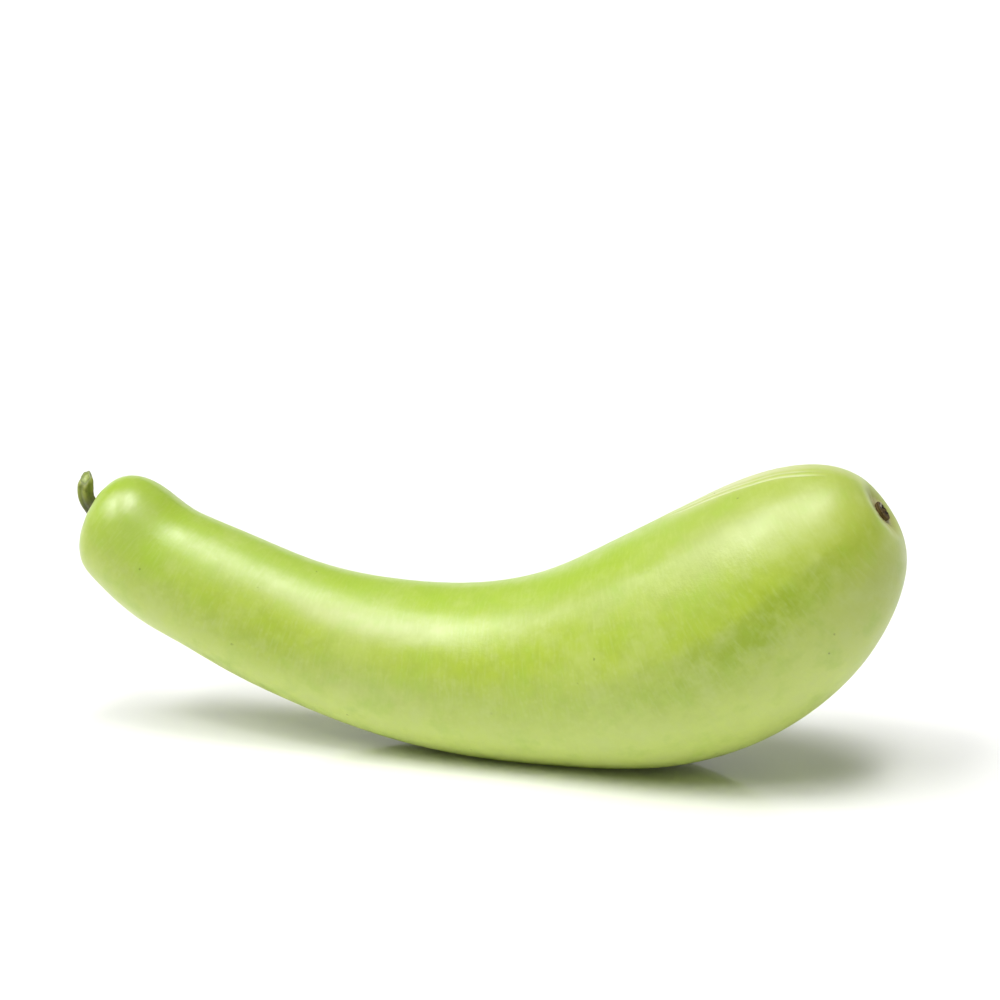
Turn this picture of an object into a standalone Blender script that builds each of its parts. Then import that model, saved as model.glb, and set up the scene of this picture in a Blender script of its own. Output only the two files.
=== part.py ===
"""Bottle gourd, as picked, resting on its belly: the bent fruit, its cut stalk and the scar left by its flower.

Metres, +Z up. The fruit runs along +X from the stalk's end to the blossom's end, with both ends raised.
The origin is the middle of the small flat spot on which the fruit rests.
"""

import math

import bmesh
import bpy
import numpy as np
from mathutils import Matrix, Vector

# Fruit, measured along its bent axis from the stalk's end
FRUIT_LENGTH = 0.341
# Each station: distance along the axis, radius of the fruit there, heading of the axis above the level in degrees
STATIONS = (
    (0.000, 0.0288, -23.0),
    (0.022, 0.0242, -39.0),
    (0.045, 0.0248, -23.0),
    (0.070, 0.0262, -23.0),
    (0.100, 0.0276, -16.0),
    (0.140, 0.0312, -7.0),
    (0.190, 0.0362, 7.0),
    (0.240, 0.0447, 21.5),
    (0.290, 0.0455, 41.0),
    (0.341, 0.0411, 36.5),
)
STALK_END_ROUNDING = 0.040  # length over which the narrow end rounds off
BLOSSOM_END_ROUNDING = 0.100  # length over which the fat end rounds off
ROUNDING_POWER = 2.8  # 2 is an ellipse, and more is blunter
STALK_END_SWAY = 0.008  # how far the narrow end bends sideways, out of the upright plane
BLOSSOM_END_SWAY = -0.004
SWAY_REACH = 0.204  # each end's sideways bend starts this far from that end
FLAT_SPOT_DEPTH = 0.0027  # how much the belly is flattened where it rests

# Shallow hollows at the two ends of the fruit
SEAT_RADIUS = 0.013  # round the stalk
SEAT_DEPTH = 0.0020
PIT_RADIUS = 0.014  # round the blossom scar
PIT_DEPTH = 0.0026

# Stalk: a short five-ridged stub that leaves the fruit along its axis and turns upwards
STALK_RADIUS = 0.0033
STALK_BASE_RADIUS = 0.0046
STALK_FLARE = 0.0022  # distance over which the base narrows to the shaft
STALK_RISE = 0.0180  # length along its bend, before the tip is cut
STALK_BEND_RADIUS = 0.0082
STALK_FINAL_HEADING = 87.0  # degrees from +X towards +Z
STALK_RIDGES = 5
RIDGE_DEPTH = 0.09  # share of the stalk's radius
STALK_SINK = 0.0012  # how far the base reaches into its seat
STALK_CUT_LENGTH = 0.0030  # how far below the end the slanted cut passes
STALK_CUT_FACING = (-0.35, -0.70, 1.00)  # direction in which the cut face looks

# Blossom scar: a corky disc in the pit, with a raised rim and a dried nub
SCAR_RADIUS = 0.0040
SCAR_RIM_DEPTH = 0.0012  # its rim's top below the fruit's end
SCAR_HOLLOW_DEPTH = 0.0018
SCAR_NUB_RADIUS = 0.0008
SCAR_NUB_HEIGHT = 0.0008

GAP = 0.0003  # between pieces that touch

# Mesh fineness
AXIS_POINTS = 171
FINE_SAMPLES = 200
HOLLOW_RINGS = 7
BODY_RINGS = 68
FRUIT_SIDES = 48
STALK_POINTS = 12
RIDGE_POINTS = 6
SCAR_SIDES = 28
SCAR_RINGS = 5
MERGE = 0.00001

COLLECTION = "bottle_gourd"
HELPERS = "cutters_and_guides"


def clear_scene():
    """Remove whatever the scene holds."""
    for obj in list(bpy.data.objects):
        bpy.data.objects.remove(obj)


def new_collection(name):
    """A collection of this name, linked to the scene."""
    collection = bpy.data.collections.new(name)
    bpy.context.scene.collection.children.link(collection)
    return collection


def finish_material(name, colour, roughness):
    """A Principled material of one colour (linear RGB) and roughness."""
    material = bpy.data.materials.new(name)
    material.use_nodes = True
    shader = material.node_tree.nodes["Principled BSDF"]
    shader.inputs["Base Color"].default_value = (*colour, 1.0)
    shader.inputs["Roughness"].default_value = roughness
    shader.inputs["Metallic"].default_value = 0.0
    return material


def helper(obj):
    """Keep a cutter or a guide out of the render."""
    obj.hide_render = True
    obj.display_type = "WIRE"
    return obj


def between_stations(column, distance):
    """Smooth value at a distance along the fruit, through the stations' own values."""
    at = np.array([station[0] for station in STATIONS])
    value = np.array([station[column] for station in STATIONS])
    slope = np.gradient(value, at)
    i = min(max(int(np.searchsorted(at, distance)) - 1, 0), len(at) - 2)
    step = at[i + 1] - at[i]
    t = (distance - at[i]) / step
    rise = (3 - 2 * t) * t**2
    return float(
        value[i] * (1 - rise)
        + value[i + 1] * rise
        + step * slope[i] * t * (1 - t) ** 2
        - step * slope[i + 1] * t**2 * (1 - t)
    )


def fruit_radius(distance):
    """Radius of the fruit's turned outline, rounded off at both ends."""
    from_stalk = max(0.0, 1 - distance / STALK_END_ROUNDING)
    from_blossom = max(0.0, 1 - (FRUIT_LENGTH - distance) / BLOSSOM_END_ROUNDING)
    stalk_share = max(0.0, 1 - from_stalk**ROUNDING_POWER) ** (1 / ROUNDING_POWER)
    blossom_share = max(0.0, 1 - from_blossom**ROUNDING_POWER) ** (1 / ROUNDING_POWER)
    return between_stations(1, distance) * stalk_share * blossom_share


def sway(distance):
    """Sideways place of the axis: each end bends gently out of the upright plane."""
    to_stalk = max(0.0, 1 - distance / SWAY_REACH)
    to_blossom = max(0.0, 1 - (FRUIT_LENGTH - distance) / SWAY_REACH)
    return STALK_END_SWAY * to_stalk**2 + BLOSSOM_END_SWAY * to_blossom**2


def axis_points():
    """Points of the fruit's axis, placed so that the belly's lowest point is over the origin and sunk by the flat."""
    distances = np.linspace(0, FRUIT_LENGTH, AXIS_POINTS)
    step = distances[1] - distances[0]
    points = [Vector((0, sway(0), 0))]
    for distance in distances[1:]:
        heading = math.radians(between_stations(2, distance - step / 2))
        last = points[-1]
        points.append(Vector((last.x + step * math.cos(heading), sway(distance), last.z + step * math.sin(heading))))
    belly = []
    for distance, point in zip(distances, points):
        heading = math.radians(between_stations(2, distance))
        radius = fruit_radius(distance)
        belly.append((point.z - radius * math.cos(heading), point.x + radius * math.sin(heading), point.y))
    low_z, low_x, low_y = min(belly)
    shift = Vector((-low_x, -low_y, -low_z - FLAT_SPOT_DEPTH))
    return [point + shift for point in points]


def hollow(radius, reach, depth):
    """Depth of a shallow round hollow at this distance from its middle."""
    return depth * (1 - (radius / reach) ** 2) ** 2 if radius < reach else 0.0


def outline_samples():
    """Radii and distances of the rounded outline, finely sampled from the stalk's end to the blossom's end."""
    along_cap = 1 - np.cos(np.linspace(0, math.pi / 2, FINE_SAMPLES)) ** (2 / ROUNDING_POWER)
    blossom_start = FRUIT_LENGTH - BLOSSOM_END_ROUNDING
    between = np.linspace(STALK_END_ROUNDING, blossom_start, FINE_SAMPLES)[1:-1]
    far_cap = FRUIT_LENGTH - BLOSSOM_END_ROUNDING * along_cap[::-1]
    distances = np.concatenate([STALK_END_ROUNDING * along_cap, between, far_cap])
    return np.array([fruit_radius(distance) for distance in distances]), distances


def fruit_profile():
    """(radius, height) of the turned outline, from the blossom's end at the top down to the stalk's end."""
    radii, distances = outline_samples()
    run = np.concatenate([[0], np.cumsum(np.hypot(np.diff(radii), np.diff(distances)))])
    seat_rings = np.linspace(0, SEAT_RADIUS, HOLLOW_RINGS, endpoint=False)
    pit_rings = run[-1] - np.linspace(0, PIT_RADIUS, HOLLOW_RINGS, endpoint=False)
    body_rings = np.linspace(SEAT_RADIUS, run[-1] - PIT_RADIUS, BODY_RINGS)
    points = []
    for ring in np.concatenate([pit_rings, body_rings[::-1], seat_rings[::-1]]):
        radius = float(np.interp(ring, run, radii))
        distance = float(np.interp(ring, run, distances))
        seat = hollow(radius, SEAT_RADIUS, SEAT_DEPTH)
        pit = hollow(radius, PIT_RADIUS, PIT_DEPTH)
        points.append((radius, distance + seat if distance < FRUIT_LENGTH / 2 else distance - pit))
    return points


def turned(name, profile, sides, collection):
    """A solid turned about Z from a profile that runs from its top to its bottom."""
    mesh = bpy.data.meshes.new(name)
    edges = [(i, i + 1) for i in range(len(profile) - 1)]
    mesh.from_pydata([(radius, 0, height) for radius, height in profile], edges, [])
    obj = bpy.data.objects.new(name, mesh)
    collection.objects.link(obj)
    screw = obj.modifiers.new("turn", "SCREW")
    screw.axis = "Z"
    screw.steps = sides
    screw.render_steps = sides
    screw.use_merge_vertices = True
    screw.merge_threshold = MERGE
    screw.use_smooth_shade = True
    return obj


def poly_curve(name, points, collection, closed=False):
    """A curve object of straight segments through these points."""
    curve = bpy.data.curves.new(name, "CURVE")
    curve.dimensions = "3D"
    spline = curve.splines.new("POLY")
    spline.points.add(len(points) - 1)
    for slot, point in zip(spline.points, points):
        slot.co = (*point, 1.0)
    spline.use_cyclic_u = closed
    obj = bpy.data.objects.new(name, curve)
    collection.objects.link(obj)
    return obj


def box_cutter(name, size, matrix, collection):
    """A box whose top face lies on the matrix's XY plane."""
    mesh = bpy.data.meshes.new(name)
    shape = bmesh.new()
    bmesh.ops.create_cube(shape, size=1.0)
    bmesh.ops.translate(shape, verts=shape.verts, vec=(0, 0, -0.5))
    bmesh.ops.scale(shape, verts=shape.verts, vec=size)
    shape.to_mesh(mesh)
    shape.free()
    obj = bpy.data.objects.new(name, mesh)
    collection.objects.link(obj)
    obj.matrix_world = matrix
    return helper(obj)


def cut(obj, cutter):
    """Take the cutter's shape out of the object."""
    boolean = obj.modifiers.new("cut_" + cutter.name, "BOOLEAN")
    boolean.operation = "DIFFERENCE"
    boolean.object = cutter


def end_frame(end, before):
    """Placement at an end of the axis: local Z points out of the fruit, and local Y stays level."""
    out = (end - before).normalized()
    level = out.cross(Vector((0, 0, 1))).normalized()
    up = level.cross(out)
    return Matrix.Translation(end) @ Matrix((up, level, out)).transposed().to_4x4()


def build_fruit(axis, parts, helpers):
    """The rind and flesh in one: a turned solid bent along the axis and flattened where it rests."""
    fruit = turned("fruit", fruit_profile(), FRUIT_SIDES, parts)
    guide = helper(poly_curve("fruit_axis", axis, helpers))
    bend = fruit.modifiers.new("bend", "CURVE")
    bend.object = guide
    bend.deform_axis = "POS_Z"
    ground_size = (2 * FRUIT_LENGTH, FRUIT_LENGTH, 10 * FLAT_SPOT_DEPTH)
    cut(fruit, box_cutter("ground", ground_size, Matrix.Identity(4), helpers))
    fruit.data.materials.append(finish_material("pale_green_rind", (0.40, 0.55, 0.13), 0.38))
    return fruit


def stalk_path(frame):
    """Points of the stalk's centreline: out of its seat, round an upward bend and on to the tip."""
    out = frame.to_3x3().col[2]
    heading = math.atan2(out.z, out.x)
    last_heading = math.radians(STALK_FINAL_HEADING)
    step = STALK_RISE / (STALK_POINTS - 1)
    point = frame @ Vector((0, 0, -STALK_SINK))
    points = [point]
    for _ in range(STALK_POINTS - 1):
        point = point + step * Vector((math.cos(heading), out.y * math.sin(heading), math.sin(heading)))
        points.append(point)
        heading = max(last_heading, heading - step / STALK_BEND_RADIUS)
    return points


def stalk_radius(distance):
    """Radius along the stalk: a flared base that narrows to the shaft."""
    flare = math.exp(-((distance / STALK_FLARE) ** 2))
    return STALK_RADIUS + (STALK_BASE_RADIUS - STALK_RADIUS) * flare


def ridged_outline():
    """Cross-section of the stalk for a radius of 1: a circle with soft ridges."""
    count = STALK_RIDGES * RIDGE_POINTS
    angles = [2 * math.pi * i / count for i in range(count)]
    radii = [1 + RIDGE_DEPTH * (math.cos(STALK_RIDGES * angle) - 1) for angle in angles]
    return [(radius * math.cos(angle), radius * math.sin(angle), 0) for radius, angle in zip(radii, angles)]


def mesh_from_curve(curve, name, collection):
    """A closed mesh object made from a curve with caps, in the curve's place."""
    bpy.context.view_layer.update()
    evaluated = curve.evaluated_get(bpy.context.evaluated_depsgraph_get())
    mesh = bpy.data.meshes.new_from_object(evaluated)
    shape = bmesh.new()
    shape.from_mesh(mesh)
    bmesh.ops.remove_doubles(shape, verts=shape.verts, dist=MERGE)
    bmesh.ops.recalc_face_normals(shape, faces=shape.faces)
    shape.to_mesh(mesh)
    shape.free()
    obj = bpy.data.objects.new(name, mesh)
    collection.objects.link(obj)
    obj.matrix_world = curve.matrix_world.copy()
    bpy.data.objects.remove(curve)
    return obj


def build_stalk(frame, parts, helpers):
    """The stub of the stem: ridged, flared at its base and cut off on a slant."""
    path = stalk_path(frame)
    tube = poly_curve("stalk_tube", path, helpers)
    outline = helper(poly_curve("stalk_outline", ridged_outline(), helpers, closed=True))
    tube.data.bevel_mode = "OBJECT"
    tube.data.bevel_object = outline
    tube.data.use_fill_caps = True
    step = STALK_RISE / (STALK_POINTS - 1)
    for i, slot in enumerate(tube.data.splines[0].points):
        slot.radius = stalk_radius(i * step)
    stalk = mesh_from_curve(tube, "stalk", parts)
    tip = (path[-1] - path[-2]).normalized()
    place = Matrix.Translation(path[-1] - STALK_CUT_LENGTH * tip)
    slant = (-Vector(STALK_CUT_FACING)).to_track_quat("Z", "Y").to_matrix().to_4x4()
    cut_size = (0.03, 0.03, 0.02)
    cut(stalk, box_cutter("stalk_cut", cut_size, place @ slant, helpers))
    stalk.data.shade_smooth()
    stalk.data.set_sharp_from_angle(angle=math.radians(50))
    stalk.data.materials.append(finish_material("olive_stalk", (0.16, 0.19, 0.025), 0.55))
    return stalk


def scar_profile():
    """(radius, height) of the scar, with the fruit's end at height 0: nub, hollow, rim, then its underside."""
    rim_inner = 0.8 * SCAR_RADIUS
    nub_top = SCAR_NUB_HEIGHT - SCAR_HOLLOW_DEPTH
    points = [
        (0, nub_top),
        (0.7 * SCAR_NUB_RADIUS, nub_top - 0.2 * SCAR_NUB_HEIGHT),
        (SCAR_NUB_RADIUS, -SCAR_HOLLOW_DEPTH),
        (0.6 * SCAR_RADIUS, -SCAR_HOLLOW_DEPTH),
        (rim_inner, -SCAR_RIM_DEPTH),
        (SCAR_RADIUS, -SCAR_RIM_DEPTH - 0.0001),
    ]
    for radius in np.linspace(SCAR_RADIUS, 0, SCAR_RINGS):
        points.append((float(radius), GAP - hollow(radius, PIT_RADIUS, PIT_DEPTH)))
    return points


def build_scar(frame, parts):
    """The corky remnant of the flower in its pit."""
    scar = turned("blossom_scar", scar_profile(), SCAR_SIDES, parts)
    scar.matrix_world = frame
    scar.data.materials.append(finish_material("corky_scar", (0.10, 0.06, 0.02), 0.85))
    return scar


def main():
    """Build the three pieces."""
    clear_scene()
    parts = new_collection(COLLECTION)
    helpers = new_collection(HELPERS)
    axis = axis_points()
    build_fruit(axis, parts, helpers)
    build_stalk(end_frame(axis[0], axis[1]), parts, helpers)
    build_scar(end_frame(axis[-1], axis[-2]), parts)


main()
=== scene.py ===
"""Bottle gourd, dressed: the waxy rind, the ridged stalk and the corky blossom scar, in a plain white studio.

Metres, +Z up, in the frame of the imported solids. The fruit, the stalk and the scar are built again with the
measures of the solids, far finer and with the small forms of a real skin, and each stands for its solid.
"""

import logging
import math
from dataclasses import dataclass, field
from enum import Enum

import bpy
import numpy as np
from mathutils import Matrix, Vector, noise


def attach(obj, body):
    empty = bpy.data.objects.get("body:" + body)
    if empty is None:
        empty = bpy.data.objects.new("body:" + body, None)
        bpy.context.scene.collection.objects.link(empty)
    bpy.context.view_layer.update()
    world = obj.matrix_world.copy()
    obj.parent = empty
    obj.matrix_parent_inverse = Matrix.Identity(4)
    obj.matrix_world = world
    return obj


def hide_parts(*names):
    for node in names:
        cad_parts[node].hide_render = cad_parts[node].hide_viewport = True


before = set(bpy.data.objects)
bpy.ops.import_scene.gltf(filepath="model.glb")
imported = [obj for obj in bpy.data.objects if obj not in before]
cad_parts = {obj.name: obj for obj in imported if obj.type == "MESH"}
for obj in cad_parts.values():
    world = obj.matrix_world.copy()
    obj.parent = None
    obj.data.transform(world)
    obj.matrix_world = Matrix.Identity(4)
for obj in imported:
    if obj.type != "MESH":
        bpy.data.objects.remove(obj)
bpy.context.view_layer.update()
LOG = logging.getLogger("bottle_gourd")
MM = 0.001
UPRIGHT = (0.0, 0.0, 1.0)
FACTOR, UNDER, OVER, MIXED = 0, 6, 7, 2  # the inputs and the output of a Mix node for colours
SOFT = {"interpolation_type": "SMOOTHSTEP"}


class Side(Enum):
    """Which way a closed grid's rings are wound, so that its faces look outwards."""

    AS_BUILT = 1
    TURNED = -1


@dataclass(frozen=True)
class Ramp:
    """How a share follows a value: it goes from low to high as the value goes from start to end."""

    start: float = 0.0
    end: float = 1.0
    low: float = 0.0
    high: float = 1.0

    def of(self, value: bpy.types.NodeSocket) -> dict:
        """Inputs of the MapRange node that reads this value."""
        return {0: value, 1: self.start, 2: self.end, 3: self.low, 4: self.high}


@dataclass(frozen=True)
class Patch:
    """A patch on the skin with a soft edge, placed along the fruit and round it from the top."""

    distance: float
    turn: float  # degrees
    reach: float
    breadth: float  # degrees
    strength: float


def linear(hex_colour: str) -> tuple[float, float, float, float]:
    """Turn an sRGB hex colour into the linear values that Blender's sockets take.

    Args:
        hex_colour: six hex digits after a hash, such as "#b5cd60".

    Returns:
        Linear red, green and blue, and an alpha of 1.
    """
    values = [int(hex_colour[i : i + 2], 16) / 255 for i in (1, 3, 5)]
    red, green, blue = (v / 12.92 if v <= 0.04045 else ((v + 0.055) / 1.055) ** 2.4 for v in values)
    return red, green, blue, 1.0


def per(size: float) -> float:
    """Scale of a pattern whose features lie this many millimetres apart."""
    return 1 / (size * MM)


def node(
    tree: bpy.types.NodeTree, kind: str, links: dict | None = None, **settings: object
) -> bpy.types.Node:
    """Add a shader node with its settings, and link or fill its inputs.

    Args:
        tree: the node tree that gets the node.
        kind: Blender's name for the type, without the leading ShaderNode.
        links: for each input, by name or number, the socket to link to it or the value to give it.
        settings: properties of the node itself.

    Returns:
        The new node.
    """
    made = tree.nodes.new("ShaderNode" + kind)
    for name, value in settings.items():
        setattr(made, name, value)
    for key, value in (links or {}).items():
        if isinstance(value, bpy.types.NodeSocket):
            tree.links.new(value, made.inputs[key])
        else:
            made.inputs[key].default_value = value
    return made


def new_finish(name: str) -> tuple[bpy.types.Material, bpy.types.NodeTree, bpy.types.Node]:
    """Start a material.

    Args:
        name: the material's name.

    Returns:
        The material, its node tree and its shader.
    """
    made = bpy.data.materials.new(name)
    made.use_nodes = True
    return made, made.node_tree, made.node_tree.nodes["Principled BSDF"]


def layered(
    tree: bpy.types.NodeTree, ground: str, layers: tuple[tuple[bpy.types.NodeSocket, str], ...]
) -> bpy.types.NodeSocket:
    """Lay colours over a ground colour, one after the other.

    Args:
        tree: the material's node tree.
        ground: the hex colour at the bottom.
        layers: for each layer, the share that it covers and its hex colour.

    Returns:
        The socket of the finished colour.
    """
    colour = linear(ground)
    for share, tint in layers:
        links = {FACTOR: share, UNDER: colour, OVER: linear(tint)}
        colour = node(tree, "Mix", links, data_type="RGBA").outputs[MIXED]
    return colour


def fill(shader: bpy.types.Node, values: dict[str, object]) -> None:
    """Set what is the same all over a surface on the shader's own sockets.

    Args:
        shader: the material's shader.
        values: the value for each socket's name.
    """
    for name, value in values.items():
        shader.inputs[name].default_value = value


def perlin(points: np.ndarray, wavelength: float, seed: float = 0.0) -> np.ndarray:
    """Smooth noise between about -1 and 1 at each point.

    Args:
        points: N by 3 positions in metres.
        wavelength: size of the noise's features in metres.
        seed: shifts the noise, so that two layers differ.

    Returns:
        One value a point.
    """
    scaled = points / wavelength + seed
    return np.array([noise.noise(Vector(p)) for p in scaled])


def closed_grid(
    name: str, rings: np.ndarray, start: np.ndarray, end: np.ndarray, side: Side
) -> bpy.types.Object:
    """Build a closed, smooth-shaded mesh from rings of points, with a pole at each end.

    Args:
        name: the object's name.
        rings: array of shape (rings, points a ring, 3).
        start: the pole before the first ring.
        end: the pole after the last ring.
        side: whether the rings' own winding already looks outwards.

    Returns:
        The new object, linked to the scene.
    """
    count, sides, _ = rings.shape
    points = np.concatenate([rings.reshape(-1, 3), [start], [end]])
    i, j = np.meshgrid(np.arange(count - 1), np.arange(sides), indexing="ij")
    k = (j + 1) % sides
    corners = [i * sides + j, i * sides + k, (i + 1) * sides + k, (i + 1) * sides + j]
    quads = np.stack(corners, -1).reshape(-1, 4)
    around = np.arange(sides)
    after = (around + 1) % sides
    first, last = count * sides, count * sides + 1
    low_fan = np.stack([np.full(sides, first), after, around], -1)
    top = (count - 1) * sides
    high_fan = np.stack([np.full(sides, last), top + around, top + after], -1)
    faces = [face for part in (quads, low_fan, high_fan) for face in part[:, :: side.value].tolist()]
    mesh = bpy.data.meshes.new(name)
    mesh.from_pydata(points.tolist(), [], faces)
    mesh.shade_smooth()
    mesh.update()
    obj = bpy.data.objects.new(name, mesh)
    bpy.context.scene.collection.objects.link(obj)
    return obj


def store(obj: bpy.types.Object, name: str, values: np.ndarray) -> None:
    """Keep a number or a vector for each vertex, for the material to read.

    Args:
        obj: the mesh object.
        name: the attribute's name.
        values: one number or one row of three numbers a vertex.
    """
    kind, key = ("FLOAT", "value") if values.ndim == 1 else ("FLOAT_VECTOR", "vector")
    attribute = obj.data.attributes.new(name, kind, "POINT")
    attribute.data.foreach_set(key, np.ascontiguousarray(values, np.float32).ravel())


def with_poles(rings: np.ndarray, first: float = 0.0, last: float = 0.0) -> np.ndarray:
    """One value a vertex of a closed grid: those of its rings, then those of its two poles."""
    return np.concatenate([rings.ravel(), [first, last]])


def put_on(obj: bpy.types.Object, material: bpy.types.Material, cad_node: str) -> None:
    """Dress a piece, let it ride with the body and let it stand for its solid.

    Args:
        obj: the piece.
        material: its finish.
        cad_node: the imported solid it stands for.
    """
    obj.data.materials.append(material)
    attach(obj, "root")
    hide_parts(cad_node)
    size = (v / MM for v in obj.dimensions)
    LOG.info("%s: %d faces, %.0f x %.0f x %.0f mm", obj.name, len(obj.data.polygons), *size)


@dataclass
class BentAxis:
    """The fruit's bent axis and the outline turned about it, with the measures of the solids."""

    length: float = 0.341
    stations: tuple[tuple[float, float, float], ...] = (  # distance, radius and heading in degrees
        (0.000, 0.0288, -23.0),
        (0.022, 0.0242, -39.0),
        (0.045, 0.0248, -23.0),
        (0.070, 0.0262, -23.0),
        (0.100, 0.0276, -16.0),
        (0.140, 0.0312, -7.0),
        (0.190, 0.0362, 7.0),
        (0.240, 0.0447, 21.5),
        (0.290, 0.0455, 41.0),
        (0.341, 0.0411, 36.5),
    )
    stalk_rounding: float = 0.040
    blossom_rounding: float = 0.100
    power: float = 2.8
    stalk_sway: float = 0.008
    blossom_sway: float = -0.004
    sway_reach: float = 0.204
    flat_depth: float = 0.0027
    count: int = 171
    points: np.ndarray = field(init=False)
    run: np.ndarray = field(init=False)

    def __post_init__(self) -> None:
        """Lay the axis out, over the origin and sunk by the flat spot."""
        distances = np.linspace(0, self.length, self.count)
        step = distances[1]
        heading = np.radians(self.between(2, distances[1:] - step / 2))
        x = np.concatenate([[0], np.cumsum(step * np.cos(heading))])
        z = np.concatenate([[0], np.cumsum(step * np.sin(heading))])
        points = np.stack([x, self.sway(distances), z], -1)
        at_point = np.radians(self.between(2, distances))
        belly = points[:, 2] - self.radius(distances) * np.cos(at_point)
        low = int(np.argmin(belly))
        low_x = points[low, 0] + self.radius(distances)[low] * np.sin(at_point[low])
        self.points = points - [low_x, points[low, 1], belly[low] + self.flat_depth]
        steps = np.linalg.norm(np.diff(self.points, axis=0), axis=1)
        self.run = np.concatenate([[0], np.cumsum(steps)])

    def between(self, column: int, distance: np.ndarray) -> np.ndarray:
        """Smooth values at distances along the fruit, through the stations' own values.

        Args:
            column: 1 for the radius, 2 for the heading.
            distance: distances along the axis.

        Returns:
            One value a distance.
        """
        table = np.array(self.stations)
        at, value = table[:, 0], table[:, column]
        slope = np.gradient(value, at)
        i = np.clip(np.searchsorted(at, distance) - 1, 0, len(at) - 2)
        step = at[i + 1] - at[i]
        t = (distance - at[i]) / step
        rise = (3 - 2 * t) * t**2
        bend = step * slope[i] * t * (1 - t) ** 2 - step * slope[i + 1] * t**2 * (1 - t)
        return value[i] * (1 - rise) + value[i + 1] * rise + bend

    def radius(self, distance: np.ndarray) -> np.ndarray:
        """Radius of the outline, rounded off at both ends.

        Args:
            distance: distances along the axis.

        Returns:
            One radius a distance.
        """
        from_stalk = np.clip(1 - distance / self.stalk_rounding, 0, 1)
        from_blossom = np.clip(1 - (self.length - distance) / self.blossom_rounding, 0, 1)
        stalk_share = (1 - from_stalk**self.power) ** (1 / self.power)
        return self.between(1, distance) * stalk_share * (1 - from_blossom**self.power) ** (1 / self.power)

    def sway(self, distance: np.ndarray) -> np.ndarray:
        """Sideways place of the axis.

        Args:
            distance: distances along the axis.

        Returns:
            One place a distance.
        """
        to_stalk = np.clip(1 - distance / self.sway_reach, 0, 1)
        to_blossom = np.clip(1 - (self.length - distance) / self.sway_reach, 0, 1)
        return self.stalk_sway * to_stalk**2 + self.blossom_sway * to_blossom**2

    def frames(self, distance: np.ndarray) -> tuple[np.ndarray, np.ndarray, np.ndarray]:
        """Centres and directions across the bent axis.

        Args:
            distance: distances along the axis, in metres.

        Returns:
            The centre, the level sideways direction and the upward one, each N by 3.
        """
        centre = np.stack([np.interp(distance, self.run, self.points[:, c]) for c in range(3)], -1)
        slope = np.gradient(self.points, self.run, axis=0)
        ahead = np.stack([np.interp(distance, self.run, slope[:, c]) for c in range(3)], -1)
        ahead /= np.linalg.norm(ahead, axis=1, keepdims=True)
        level = np.cross(ahead, UPRIGHT)
        level /= np.linalg.norm(level, axis=1, keepdims=True)
        return centre, level, np.cross(level, ahead)

    def end_frame(self, end: int, before: int) -> Matrix:
        """Placement at an end of the axis: local Z points out of the fruit, and local Y stays level.

        Args:
            end: which point of the axis is the end.
            before: the point next to it.

        Returns:
            The placement.
        """
        out = Vector(self.points[end] - self.points[before]).normalized()
        level = out.cross(Vector(UPRIGHT)).normalized()
        turned = Matrix((level.cross(out), level, out)).transposed().to_4x4()
        return Matrix.Translation(Vector(self.points[end])) @ turned


def hollow(radius: np.ndarray, reach: float, depth: float) -> np.ndarray:
    """Depth of a shallow round hollow.

    Args:
        radius: distances from its middle.
        reach: the hollow's radius.
        depth: its depth in the middle.

    Returns:
        One depth a distance.
    """
    return depth * np.clip(1 - (radius / reach) ** 2, 0, 1) ** 2


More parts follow.
